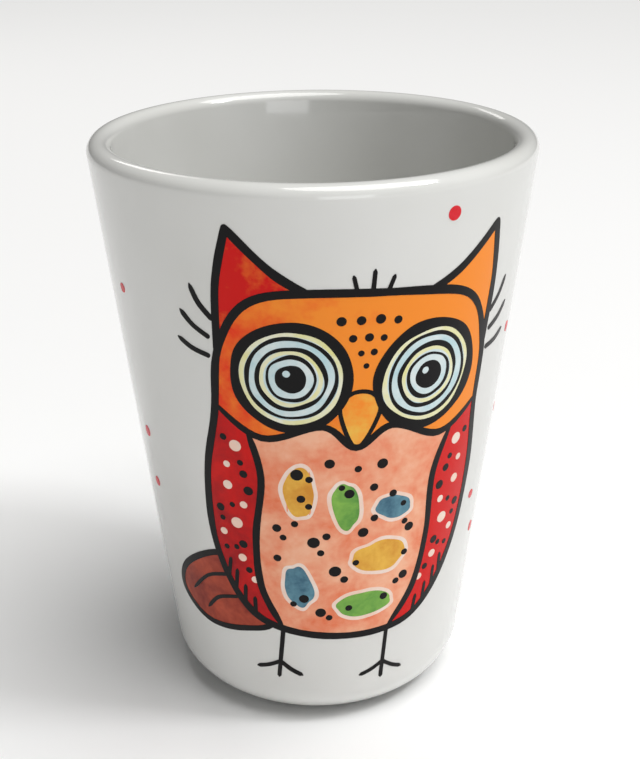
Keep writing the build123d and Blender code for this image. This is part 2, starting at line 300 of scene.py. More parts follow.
def cloud(board, place, scale, detail=3.0, roughness=0.5, distortion=0.0):
    """Soft noise over a place wire."""
    return board.wire("ShaderNodeTexNoise", "Fac", {"noise_dimensions": "3D"},
                      {"Vector": place, "Scale": scale, "Detail": detail, "Roughness": roughness,
                       "Distortion": distortion})


def glaze_ripple(board, place):
    """Bump of a hand-dipped glaze: a faint orange peel over slow waves."""
    waves = cloud(board, place, 90.0, 1.0)
    peel = cloud(board, place, 1400.0, 2.0)
    return board.wire("ShaderNodeBump", "Normal", None,
                      {"Strength": 0.22, "Distance": 0.00003, "Height": waves * 2.0 + peel * 0.2})


def glaze_finish():
    """White glaze, glossy, faintly uneven in shade, with a few iron specks."""
    material, board, shader = surface("white_glaze", 0.08, 0.3)
    place = board.wire("ShaderNodeTexCoord", "Object")
    shade = board.ramp(cloud(board, place, 60.0, 2.0),
                       [(0.3, srgb(217, 217, 213)), (0.7, srgb(226, 226, 223))])
    distance, centre = (board.wire("ShaderNodeTexVoronoi", output, {"feature": "F1"},
                                   {"Vector": place, "Scale": 130.0}) for output in ("Distance", "Position"))
    chance = board.wire("ShaderNodeTexWhiteNoise", "Value", None, {"Vector": centre})
    speck = (distance < 0.022) * (chance < 0.16)
    feed(board, shader, "Base Color", board.mix(speck * 0.55, shade, srgb(120, 112, 104)))
    feed(board, shader, "Normal", glaze_ripple(board, place))
    return material


def bare_finish():
    """Unglazed fired porcelain: matt, warm, finely grained."""
    material, board, shader = surface("bare_porcelain", 0.75)
    place = board.wire("ShaderNodeTexCoord", "Object")
    grain = cloud(board, place, 2600.0, 4.0, 0.7)
    shade = board.ramp(grain, [(0.35, srgb(206, 198, 186)), (0.65, srgb(228, 222, 212))])
    feed(board, shader, "Base Color", shade)
    feed(board, shader, "Normal", board.wire("ShaderNodeBump", "Normal", None,
                                             {"Strength": 0.5, "Distance": 0.00004, "Height": grain}))
    return material


def ink_finish(name, light, deep, patch=210.0, depth=0.5, shade_lean=(0.0, 0.0, 0.0), roughness=0.17):
    """Fired ceramic ink: a watercolour wash that gathers in clouds from a light to a deep shade.

    The lean along a direction, per metre, is painted light and shade: it moves the wash from one shade to the
    other across the cup, with the darker end on the cup's shaded left and low side.
    """
    material, board, shader = surface(name, roughness)
    shader.inputs["Specular IOR Level"].default_value = 0.16
    place = board.wire("ShaderNodeTexCoord", "Object")
    pool = cloud(board, place, patch, 3.0, 0.55, 0.6)
    fine = cloud(board, place, patch * 6, 3.0, 0.6)
    # Painted light and shade: a lean across the cup, darker towards its shaded left and low side, lighter
    # towards its lit right.
    painted_shading = board.wire("ShaderNodeVectorMath", "Value", {"operation": "DOT_PRODUCT"}, {0: place, 1: shade_lean})
    low, high = 0.5 - depth * 0.35, 0.5 + depth * 0.35
    wash = board.ramp(pool * 0.75 + fine * 0.25 + painted_shading, [(low, tuple(light)), (high, tuple(deep))])
    feed(board, shader, "Base Color", wash)
    feed(board, shader, "Roughness", roughness + fine * 0.08)
    feed(board, shader, "Normal", glaze_ripple(board, place))
    return material


# ---- the cup's section --------------------------------------------------------------------------
def arc(centre, radius, start, end, steps):
    """Points of an arc in the section, from one angle to another."""
    turns = [start + (end - start) * step / steps for step in range(steps + 1)]
    return [(centre[0] + radius * cos(turn), centre[1] + radius * sin(turn)) for turn in turns]


def skin(sizes, depth, steps):
    """Section of the surface that lies depth under the glaze's face, from the floor's centre to the foot."""
    lean = atan((sizes.rim_radius - sizes.base_radius) / cup_height)
    inner = sizes.inner_lean
    corner = (sizes.base_radius - sizes.corner_radius * tan(pi / 4 - lean / 2), sizes.corner_radius)
    lip = (lip_reach - sizes.lip_radius, cup_height - sizes.lip_radius)
    fillet_z = sizes.floor_height + sizes.floor_fillet
    wall_foot = (lip[0] - cos(inner) * sizes.lip_radius, lip[1] + sin(inner) * sizes.lip_radius)
    wall_in = (wall_foot[1] - fillet_z) * tan(inner)
    fillet = (wall_foot[0] - wall_in - sizes.floor_fillet / cos(inner), fillet_z)
    floor_arc = arc(fillet, sizes.floor_fillet + depth, -pi / 2, -inner, steps)
    lip_arc = arc(lip, sizes.lip_radius - depth, pi - inner, -lean, steps * 2)
    foot_arc = arc(corner, sizes.corner_radius - depth, -lean, sizes.glaze_end - pi / 2, steps)
    centre = [(fillet[0] * step / steps, sizes.floor_height - depth) for step in range(steps)]
    inside = between(floor_arc[-1], lip_arc[0], steps * 3)
    outside = between(lip_arc[-1], foot_arc[0], steps * 3)
    return centre + floor_arc + inside + lip_arc + outside + foot_arc


def between(start, end, steps):
    """Points evenly inside a straight run."""
    return [(start[0] + (end[0] - start[0]) * step / steps, start[1] + (end[1] - start[1]) * step / steps)
            for step in range(1, steps)]


def point_mesh(name, points):
    """A mesh of loose points."""
    mesh = bpy.data.meshes.new(name)
    mesh.from_pydata(points, [], [])
    return mesh


def axes(board, vector):
    """The X, Y and Z wires of a vector wire."""
    parts = board.add("ShaderNodeSeparateXYZ", None, {0: vector})
    return [Wire(board, parts.outputs[axis]) for axis in ("X", "Y", "Z")]


def lathe_tree():
    """Turns a section, given as points in order, about the Z axis into a closed smooth skin."""
    board, given = geometry_tree("Lathe", {"Points": "Int", "Turns": "Int", "Finish": "Material"})
    columns = given["Turns"] + 1
    grid = board.wire("GeometryNodeMeshGrid", "Mesh", None,
                      {"Vertices X": columns, "Vertices Y": given["Points"]})
    index = board.wire("GeometryNodeInputIndex", 0)
    row = index % given["Points"]
    turn = (index / given["Points"]).floor() / given["Turns"] * (2 * pi)
    position = board.wire("GeometryNodeInputPosition", 0)
    sample = board.wire("GeometryNodeSampleIndex", 0, {"data_type": "FLOAT_VECTOR"},
                        {"Geometry": given["Geometry"], "Value": position, "Index": row})
    radius, _, rise = axes(board, sample)
    spot = board.wire("ShaderNodeCombineXYZ", 0, None,
                      {"X": radius * turn.sin(), "Y": -1.0 * (radius * turn.cos()), "Z": rise})
    placed = board.wire("GeometryNodeSetPosition", 0, None, {"Geometry": grid, "Position": spot})
    joined = board.wire("GeometryNodeMergeByDistance", 0, None, {"Geometry": placed, "Distance": 0.000001})
    smooth = board.wire("GeometryNodeSetShadeSmooth", 0, None, {"Geometry": joined, "Shade Smooth": True})
    return hand_over(board, smooth, given["Finish"])


# ---- the print, flat ----------------------------------------------------------------------------
class Sheet:
    """The tapered wall rolled out flat, and the owl's place on it. Owl points are in millimetres."""

    def __init__(self, sizes, layout):
        self.lean = atan((sizes.rim_radius - sizes.base_radius) / cup_height)
        self.slant = sizes.base_radius / sin(self.lean)
        self.layout = layout

    def at(self, across, up):
        """Sheet point, in metres, of an owl point."""
        tilt = self.layout.owl_tilt
        return Vector((self.layout.owl_x + (across * cos(tilt) + up * sin(tilt)) * MM,
                       self.layout.owl_y + (up * cos(tilt) - across * sin(tilt)) * MM))

    def ray(self, fan, reach):
        """Sheet point on the straight line of the wall that fans out from the cone's apex at an angle."""
        return Vector((reach * sin(fan), reach * cos(fan) - self.slant))

    def outward(self, place):
        """Normal of the wall at a place on it."""
        turn = atan2(place[0], -place[1])
        return Vector((sin(turn) * cos(self.lean), -cos(turn) * cos(self.lean), -sin(self.lean)))


def mirrored(points):
    """Points on the other side of the owl's axis."""
    return [(-across, up) for across, up in points]


def both(points):
    """The points, then the same points mirrored, in reverse, for a closed outline."""
    return points + mirrored(points)[::-1]


def smooth(points, closed=False, steps=8):
    """A Catmull-Rom line through the points."""
    count = len(points)
    spans = count if closed else count - 1

    def knot(index):
        return points[index % count] if closed else points[min(max(index, 0), count - 1)]

    line = []
    for span in range(spans):
        a, b, c, d = (knot(span + offset) for offset in (-1, 0, 1, 2))
        for step in range(steps):
            t = step / steps
            line.append(tuple(0.5 * (2 * q + (r - p) * t + (2 * p - 5 * q + 4 * r - s) * t * t
                                     + (3 * q - p - 3 * r + s) * t * t * t)
                              for p, q, r, s in zip(a, b, c, d)))
    return line if closed else line + [points[-1]]


def oval(across, up, half_width, half_height=None, turn=0.0, wobble=0.0, seed=0.0, count=96):
    """A hand-drawn oval."""
    points = []
    for step in range(count):
        angle = 2 * pi * step / count
        swell = 1 + wobble * noise.noise(Vector((cos(angle) * 1.3, sin(angle) * 1.3, seed)))
        x, y = half_width * swell * cos(angle), (half_height or half_width) * swell * sin(angle)
        points.append((across + x * cos(turn) - y * sin(turn), up + x * sin(turn) + y * cos(turn)))
    return points


def brush(line, width, ends=(0.5, 0.5), seed=0.0, closed=False, wobble=0.16):
    """Outlines of a brush stroke along a line: one loop, or an outer and an inner loop round a closed line.

    ends are the widths at the start and the end, as shares of the full width.
    """
    count, last = len(line), len(line) - 1
    left, right = [], []
    for index, (x, y) in enumerate(line):
        before = line[index - 1] if closed or index else line[0]
        after = line[(index + 1) % count] if closed or index < last else line[last]
        along, rise = after[0] - before[0], after[1] - before[1]
        run = hypot(along, rise) or 1.0
        share = index / last
        press = 1.0 if closed else min(1.0, ends[0] + 5 * share, ends[1] + 5 * (1 - share))
        press *= 1 + wobble * noise.noise(Vector((x * 0.3, y * 0.3, seed)))
        half = width / MM * press / 2
        left.append((x - rise / run * half, y + along / run * half))
        right.append((x + rise / run * half, y - along / run * half))
    if closed:
        return [left[index:index + 2] + right[index:index + 2][::-1] for index in range(last)] + [
            [left[last], left[0], right[0], right[last]]]
    caps = [oval(*line[end], width / MM * ends[end] * 0.5, count=12) for end in (0, -1)]
    return [left[index:index + 2] + right[index:index + 2][::-1] for index in range(last)] + caps


def signed_area(loop):
    """Twice the area inside a loop, negative when it runs clockwise."""
    return sum(a[0] * b[1] - b[0] * a[1] for a, b in zip(loop, loop[1:] + loop[:1]))


def cut_areas(sheet, outlines, choose):
    """Cut overlapping outlines into separate areas.

    outlines holds (name, loop of owl points). choose takes the set of names that cover a spot and gives the
    area's name, or None for bare glaze. Gives, for each area, its flat triangles in sheet metres.
    """
    points, faces, names, edges = [], [], [], []
    for name, loop in outlines:
        loop = loop if signed_area(loop) > 0 else loop[::-1]
        faces.append(list(range(len(points), len(points) + len(loop))))
        points += [sheet.at(*point) for point in loop]
        names.append(name)
    fans = [atan2(point.x, point.y + sheet.slant) for point in points]
    reaches = [hypot(point.x, point.y + sheet.slant) for point in points]
    step = sheet.layout.strip / sheet.slant
    grid = 1000.0
    for number in range(floor(min(fans) / step), floor(max(fans) / step) + 2):
        edges.append((len(points), len(points) + 1))
        points += [sheet.ray(number * step, reach) for reach in (min(reaches) - MM, max(reaches) + MM)]
    # Worked in millimetres, where the triangulation's tolerance is sound
    spots, _, triangles, _, _, origins = delaunay_2d_cdt(
        [point * grid for point in points], edges, faces, 1, 1e-5)
    areas = {}
    for triangle, covers in zip(triangles, origins):
        name = choose({names[cover] for cover in covers})
        if name:
            areas.setdefault(name, []).append([spots[corner] / grid for corner in triangle])
    return areas


def film_mesh(name, triangles, top):
    """A closed flat film, top thick, on the sheet's plane, from flat triangles."""
    index, faces = {}, []
    for triangle in triangles:
        face = []
        for corner in triangle:
            key = (round(corner.x, 8), round(corner.y, 8))
            face.append(index.setdefault(key, len(index)))
        if len(set(face)) == 3:
            faces.append(face if signed_area([tuple(corner) for corner in triangle]) > 0 else face[::-1])
    corners = list(index)
    count = len(corners)
    sides = dict.fromkeys(side for face in faces for side in zip(face, face[1:] + face[:1]))
    rims = [(start, end) for start, end in sides if (end, start) not in sides]
    solid = [[corner + count for corner in face] for face in faces]
    solid += [face[::-1] for face in faces]
    solid += [[start, end, end + count, start + count] for start, end in rims]
    mesh = bpy.data.meshes.new(name)
    mesh.from_pydata([(x, y, 0.0) for x, y in corners] + [(x, y, top) for x, y in corners], [], solid)
    return mesh


def wrap(board, geometry, given):
    """Roll flat geometry round the tapered wall: across and up the sheet, and out from the glaze."""
    across, up, out = axes(board, board.wire("GeometryNodeInputPosition", 0))
    lean, slant = given["Lean"], given["Slant"]
    height = up + slant
    reach = (across * across + height * height).root()
    turn = across.turn_to(height) / lean.sin()
    radius = reach * lean.sin() + out * lean.cos()
    spot = board.wire("ShaderNodeCombineXYZ", 0, None, {
        "X": radius * turn.sin(), "Y": -1.0 * (radius * turn.cos()),
        "Z": (reach - slant) * lean.cos() - out * lean.sin()})
    return board.wire("GeometryNodeSetPosition", 0, None, {"Geometry": geometry, "Position": spot})


def film_tree():
    """Wraps a flat film round the wall."""
    board, given = geometry_tree("Wrapped film", {"Slant": "Float", "Lean": "Float", "Finish": "Material"})
    return hand_over(board, wrap(board, given["Geometry"], given), given["Finish"])


def dot_tree():
    """Sets a round dot of ink on each point of the sheet, sized by the point's height, and wraps the dots."""
    board, given = geometry_tree("Wrapped dots", {"Slant": "Float", "Lean": "Float", "Thickness": "Float",
                                                  "Sides": "Int", "Finish": "Material"})
    across, up, size = axes(board, board.wire("GeometryNodeInputPosition", 0))
    flat = board.wire("ShaderNodeCombineXYZ", 0, None,
                      {"X": across, "Y": up, "Z": given["Thickness"] * 0.5})
    stored = board.wire("GeometryNodeStoreNamedAttribute", 0, {"data_type": "FLOAT", "domain": "POINT"},
                        {"Geometry": given["Geometry"], "Name": "dot_radius", "Value": size})
    laid = board.wire("GeometryNodeSetPosition", 0, None, {"Geometry": stored, "Position": flat})
    disc = board.wire("GeometryNodeMeshCylinder", "Mesh", None,
                      {"Vertices": given["Sides"], "Radius": 1.0, "Depth": 1.0})
    radius = board.wire("GeometryNodeInputNamedAttribute", 0, {"data_type": "FLOAT"}, {"Name": "dot_radius"})
    scale = board.wire("ShaderNodeCombineXYZ", 0, None, {"X": radius, "Y": radius, "Z": given["Thickness"]})
    dots = board.wire("GeometryNodeInstanceOnPoints", 0, None,
                      {"Points": laid, "Instance": disc, "Scale": scale})
    real = board.wire("GeometryNodeRealizeInstances", 0, None, {0: dots})
    return hand_over(board, wrap(board, real, given), given["Finish"])


def polish(piece, sheet):
    """Give the ink's face the wall's own normals, so that its gloss runs on from the glaze."""
    mesh = piece.data
    mesh.update()
    normals = []
    for face in mesh.polygons:
        for corner in face.loop_indices:
            out = sheet.outward(mesh.vertices[mesh.loops[corner].vertex_index].co)
            lined_up = face.normal.dot(out)
            normals.append(out if lined_up > 0.8 else (-out if lined_up < -0.8 else face.normal))
    for face in mesh.polygons:
        face.use_smooth = True
    mesh.normals_split_custom_set([tuple(normal) for normal in normals])


def lay_film(name, sheet, triangles, thickness, finish):
    """Wrap one ink film round the wall."""
    piece = grow(name, film_mesh(name, triangles, thickness * MM), trees()["film"],
                 {"Slant": sheet.slant, "Lean": sheet.lean, "Finish": finish})
    polish(piece, sheet)
    return piece


def lay_dots(name, sheet, places, thickness, finish, sides=24):
    """Wrap a group of dots, from (across, up, radius) in owl millimetres, round the wall."""
    points = [(*sheet.at(across, up), radius * MM) for across, up, radius in places]
    piece = grow(name, point_mesh(name, points), trees()["dots"],
                 {"Slant": sheet.slant, "Lean": sheet.lean, "Thickness": thickness * MM, "Sides": sides,
                  "Finish": finish})
    polish(piece, sheet)
    return piece


def trees():
    """The wrapping trees, made once."""
    if "Wrapped film" not in bpy.data.node_groups:
        film_tree()
        dot_tree()
    return {"film": bpy.data.node_groups["Wrapped film"], "dots": bpy.data.node_groups["Wrapped dots"]}


def settle(piece, node=None):
    """Fix a finished piece to the cup, in place of a CAD node if it stands for one."""
    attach(piece, ROOT)
    if node:
        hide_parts(node)


# ---- the owl's drawing, in millimetres across and up from the middle of its base ----------------
FIGURE = both([(4.6, 0.1), (9.6, 2.2), (13.3, 8.5), (14.5, 16.5), (13.9, 24.0), (13.8, 31.0), (11.2, 36.4),
               (5.2, 38.2)])
FACE = [(-13.9, 25.0), (-9.0, 22.6), (-3.4, 24.6), (0, 22.4), (3.4, 24.6), (9.0, 22.6), (13.9, 25.0)]
WING = [(10.4, 22.9), (8.8, 18.0), (8.9, 11.0), (8.0, 5.0), (5.6, 0.6)]
EAR = [(5.9, 38.1), (9.2, 39.8), (13.6, 43.2), (14.3, 37.4), (13.8, 30.5)]
EYE, EYE_RADIUS, PUPIL_RADIUS = (6.7, 29.4), 5.3, 1.45
BEAK = both([(1.9, 26.2), (1.0, 28.2)]) + [(0, 22.4)]
TAIL = [(-9.6, 7.6), (-13.6, 7.0), (-17.6, 3.0), (-18.2, -0.6), (-14.4, -2.4), (-9.6, -1.2), (-6.4, 1.2)]
TAIL_QUILLS = [[(-11.4, 5.2), (-14.2, 3.6), (-16.4, 0.4)], [(-10.6, 2.6), (-12.8, 1.4), (-14.2, -0.8)]]
LEG_ACROSS, LEG_TOP, ANKLE = 5.4, 0.4, -4.2
TOES = [(-2.4, -5.6), (0.0, -6.3), (2.4, -5.6)]
CHEEKS = [[(14.8, 30.0), (16.6, 30.2), (18.2, 30.8)], [(14.9, 32.0), (16.6, 32.7), (18.0, 33.8)],
          [(14.6, 34.0), (16.0, 35.2), (17.0, 36.8)]]
CROWN = [[(-1.4, 38.4), (-1.9, 40.0)], [(0, 38.6), (0, 40.6)], [(1.4, 38.4), (1.9, 40.0)]]
WING_QUILLS = [[(8.4, 1.4), (8.6, 3.4)], [(9.6, 2.2), (9.7, 4.6)], [(10.7, 3.6), (10.7, 6.2)],
               [(11.6, 5.0), (11.5, 7.4)]]
EYE_TINTS, EYE_BANDS = ((4.65, 0.5), (2.75, 0.4)), ((3.65, 0.6),)                  # (radius, width)
EYE_RINGS = ((4.2, 0.4), (3.15, 0.46), (2.25, 0.34))                               # (radius, width)
GLINT, GLINT_RADIUS = (-0.45, 0.5), 0.36
PATCHES = {   # (across, up, half width, half height, turn)
    "yellow": [(-5.0, 17.0, 1.5, 2.7, 0.1), (3.6, 9.6, 2.9, 1.8, 0.12)],
    "green": [(-0.4, 15.8, 1.3, 2.8, 0.15), (2.6, 3.8, 3.0, 1.4, 0.1)],
    "blue": [(4.6, 15.2, 1.9, 1.3, -0.2), (-4.2, 5.8, 1.4, 2.5, 0.3)],
}
HALO = 0.42
BROW_DOTS = [(-2.6, 35.6, 0.46), (-0.8, 35.7, 0.44), (1.0, 35.8, 0.48), (2.7, 35.6, 0.4), (-1.4, 33.9, 0.38),
             (0.1, 34.0, 0.42), (1.5, 33.9, 0.34), (-0.5, 32.4, 0.3), (0.7, 32.5, 0.34), (0.1, 31.1, 0.28)]
BELLY_DOTS = [
    (-2.4, 20.6, 0.5), (2.8, 20.4, 0.55), (0.4, 20.0, 0.36), (-6.9, 12.6, 0.45), (-6.2, 11.6, 0.34),
    (-3.2, 11.4, 0.62), (-2.0, 12.2, 0.4), (-2.4, 10.2, 0.36), (1.6, 12.6, 0.54), (6.6, 12.4, 0.5),
    (6.0, 13.2, 0.34), (-0.8, 8.0, 0.62), (0.2, 7.0, 0.4), (-6.6, 9.0, 0.4), (6.6, 6.6, 0.5),
    (5.8, 6.0, 0.36), (-1.8, 2.8, 0.54), (-0.9, 2.2, 0.34), (-5.2, 13.4, 0.36), (2.2, 17.8, 0.42),
    (-5.4, 19.1, 0.62), (-4.2, 18.7, 0.36), (-4.8, 16.4, 0.42), (-4.0, 15.6, 0.34), (-0.2, 17.2, 0.5),
    (-1.0, 17.9, 0.32), (2.6, 14.2, 0.4), (5.6, 15.4, 0.32), (4.3, 16.8, 0.4), (1.2, 9.0, 0.34),
    (6.4, 9.4, 0.36), (-3.6, 4.4, 0.5), (-4.6, 3.6, 0.34), (4.6, 4.4, 0.42), (1.0, 3.4, 0.36)]
WING_DOTS = [(11.6, 21.0, 0.62), (12.4, 18.6, 0.36), (12.2, 16.2, 0.5), (10.4, 14.4, 0.4), (11.0, 12.0, 0.62),
             (12.4, 10.4, 0.4), (10.2, 7.9, 0.45), (8.7, 5.6, 0.4)]
WING_SPECKS = [(10.6, 18.0, 0.42), (11.6, 14.0, 0.3), (12.9, 13.2, 0.45), (10.2, 9.6, 0.46), (10.9, 9.0, 0.3),
               (12.9, 21.6, 0.36), (11.0, 19.2, 0.32), (10.0, 16.2, 0.5), (9.4, 6.6, 0.36), (12.6, 12.0, 0.3),
               (12.0, 8.6, 0.3)]
LOOSE_DOTS = [   # in millimetres on the sheet
    (13.2, 56.4, 0.7), (-21.0, 30.1, 0.6), (-20.1, 24.3, 0.55), (19.6, 22.6, 0.5), (21.0, 17.4, 0.6),
    (-22.4, 46.0, 0.5), (25.0, 40.0, 0.55), (-26.0, 18.0, 0.6), (27.0, 29.0, 0.5)]
# Painted light and shade: how far each wash leans, per metre, so that it is darker on the cup's shaded left
# and low side and lighter on its lit right.
PAINTED_SHADE_LEAN = {"head": (-22.0, 0.0, -2.0), "ear": (24.0, 0.0, 0.0), "wing": (-16.0, 0.0, -7.0),
         "belly": (0.0, 0.0, -1.5)}                                # lean of a wash, per metre
FACE_STEPS, BACK_STEPS = 14, 8             # steps along each arc of the glaze's face and of its back
EDGE_IN, EDGE_DOWN = 0.05 * MM, 0.04 * MM  # how far the glaze's lower edge bulges
THICK = {"wash": 0.020, "halo": 0.026, "patch": 0.032, "dot": 0.038, "line": 0.046}            # mm


def settings():
    """The ink colours, and the sheet that the sizes give."""
    scene = bpy.context.scene
    return scene.ink_colours, Sheet(scene.cup_sizes, scene.print_sizes)


class ShotCupOperator:
    """Shared by the operators that make pieces."""
    bl_options = {"REGISTER", "UNDO"}


class SHOTCUP_OT_glaze(ShotCupOperator, bpy.types.Operator):
    """Turn the glaze coat, and finish the bare body and the recess glaze"""
    bl_idname = "shotcup.glaze"
    bl_label = "Glaze and Body"

    def execute(self, context):
        sizes = context.scene.cup_sizes
        finish = glaze_finish()
        face = skin(sizes, 0.0, FACE_STEPS)
        back = skin(sizes, sizes.glaze, BACK_STEPS)[::-1]
        (face_out, face_up), (back_out, back_up) = face[-1], back[0]
        edge = ((face_out + back_out) / 2 - EDGE_IN, (face_up + back_up) / 2 - EDGE_DOWN)
        points = [(radius, 0.0, rise) for radius, rise in (*face, edge, *back)]
        piece = grow("glaze_skin", point_mesh("glaze_skin", points), lathe_tree(),
                     {"Points": len(points), "Turns": sizes.turns, "Finish": finish})
        settle(piece, "glaze_coat")
        for node, material in (("porcelain_body", bare_finish()), ("recess_glaze", finish)):
            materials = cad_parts[node].data.materials
            materials.clear()
            materials.append(material)
        return {"FINISHED"}


class SHOTCUP_OT_washes(ShotCupOperator, bpy.types.Operator):
    """Lay the watercolour washes: head, ear tufts, wings, belly and tail"""
    bl_idname = "shotcup.washes"
    bl_label = "Washes"

    def execute(self, context):
        inks, sheet = settings()
        hem = smooth(FACE)
        below = hem[::-1] + [(-20, 20), (-20, -5), (20, -5), (20, 20)]
        outlines = [("figure", smooth(FIGURE, True)), ("below", below), ("tail", smooth(TAIL, True))]
        for side in (1, -1):
            wing = smooth(WING) + [(3, -5), (20, -5), (20, 28), (10.4, 28)]
            outlines.append(("wing", [(side * across, up) for across, up in wing]))
            ear = [(side * across, up) for across, up in EAR]
            outlines.append(("ear", smooth(ear[:3]) + smooth(ear[2:])[1:]))

        def choose(covers):
            if "figure" not in covers:
                return "tail" if "tail" in covers else "ear" if "ear" in covers else None
            if "below" not in covers:
                return "head"
            return "wing" if "wing" in covers else "belly"

        areas = cut_areas(sheet, outlines, choose)
        for area, name, slot, node, light, deep in (
                ("head", "head_wash", "orange_ink", "print_head_orange", inks.orange, inks.orange_deep),
                ("ear", "ear_wash", "red_ink", "print_ears_red", inks.red, inks.orange),
                ("wing", "wing_wash", "red_ink", "print_wings_red", inks.red, inks.red_deep),
                ("belly", "belly_wash", "peach_ink", "print_belly_peach", inks.peach, inks.peach_deep),
                ("tail", "tail_wash", "brown_ink", "print_tail_brown", inks.brown, inks.brown_deep)):
            # The lean passed here paints shade on the cup's left and low side, and light on its right, into
            # the wash.
            finish = ink_finish(name, light, deep, shade_lean=PAINTED_SHADE_LEAN.get(area, (0.0, 0.0, 0.0)))
            piece = lay_film(name, sheet, areas[area], THICK["wash"], finish)
            settle(piece, node)
        return {"FINISHED"}


class SHOTCUP_OT_patches(ShotCupOperator, bpy.types.Operator):
    """Lay the belly's patches with their pale halos, and the beak"""
    bl_idname = "shotcup.patches"
    bl_label = "Patches and Beak"

    def execute(self, context):
        inks, sheet = settings()
        colours = {"yellow": (inks.yellow, inks.yellow_deep), "green": (inks.green, inks.green_deep),
                   "blue": (inks.blue, inks.blue_deep)}
        halos = []
        for number, (name, ovals) in enumerate(PATCHES.items()):
            outlines = []
            for count, (across, up, wide, high, turn) in enumerate(ovals):
                seed = 7.0 * number + 3.0 * count
                outlines.append((name, oval(across, up, wide, high, turn, 0.2, seed)))
                halos.append(("halo", oval(across, up, wide + HALO, high + HALO, turn, 0.2, seed)))
            areas = cut_areas(sheet, outlines, lambda covers: "patch" if covers else None)
            piece = lay_film(f"{name}_patches", sheet, areas["patch"], THICK["patch"],
                             ink_finish(f"{name}_ink", *colours[name], patch=330.0))
            settle(piece, f"print_patches_{name}")
        areas = cut_areas(sheet, halos, lambda covers: "halo" if covers else None)
        piece = lay_film("patch_halos", sheet, areas["halo"], THICK["halo"],
                         ink_finish("halo_ink", inks.pale, inks.peach, patch=420.0, depth=1.3))
        settle(piece)
        areas = cut_areas(sheet, [("beak", smooth(BEAK, True))], lambda covers: "beak" if covers else None)
        piece = lay_film("beak_wash", sheet, areas["beak"], THICK["patch"],
                         ink_finish("beak_ink", inks.yellow, inks.orange, patch=330.0))
        settle(piece, "print_beak")
        return {"FINISHED"}


class SHOTCUP_OT_eyes(ShotCupOperator, bpy.types.Operator):
    """Paint the eyes: pale discs, tinted bands, black rings and pupils"""
    bl_idname = "shotcup.eyes"
    bl_label = "Eyes"

    def execute(self, context):
        inks, sheet = settings()
        discs, tints, bands, rings, pupils = ([] for _ in range(5))
        for side in (1, -1):
            x, y = side * EYE[0], EYE[1]
            discs.append(("disc", oval(x, y, EYE_RADIUS)))
            for layer, circles in ((tints, EYE_TINTS), (bands, EYE_BANDS)):
                for radius, width in circles:
                    strokes = brush(oval(x, y, radius), width * MM, closed=True, seed=radius)
                    layer += [("band", stroke) for stroke in strokes]
            for number, (radius, width) in enumerate(EYE_RINGS):
                circle = oval(x, y, radius, wobble=0.06, seed=number + 5.0 * side)
                strokes = brush(circle, width * MM, closed=True, seed=number, wobble=0.8)
                rings += [("ring", stroke) for stroke in strokes]
            pupils.append(("pupil", oval(x, y, PUPIL_RADIUS, wobble=0.06, seed=side)))
            pupils.append(("glint", oval(x + GLINT[0], y + GLINT[1], GLINT_RADIUS, count=20)))
        jobs = (
            ("eye_discs", discs, "disc", "halo", "white_ink", "print_eye_whites", inks.pale, inks.pale_blue),
            ("eye_tints", tints, "band", "patch", "yellow_ink", None, inks.pale_yellow, inks.pale),
            ("eye_bands", bands, "band", "patch", "pale_blue_ink", "print_eye_bands", inks.pale_blue,
             inks.pale),
            ("eye_rings", rings, "ring", "dot", "black_ink", "print_eye_rings", inks.black, inks.black),
            ("eye_pupils", pupils, "pupil", "dot", "black_ink", "print_pupils", inks.black, inks.black),
        )
        for name, outlines, wanted, layer, slot, node, light, deep in jobs:
            areas = cut_areas(sheet, outlines, lambda covers: "ink" if covers == {wanted} else None)
            finish = ink_finish(name, light, deep, patch=260.0, depth=0.8)
            settle(lay_film(name, sheet, areas["ink"], THICK[layer], finish), node)
        return {"FINISHED"}


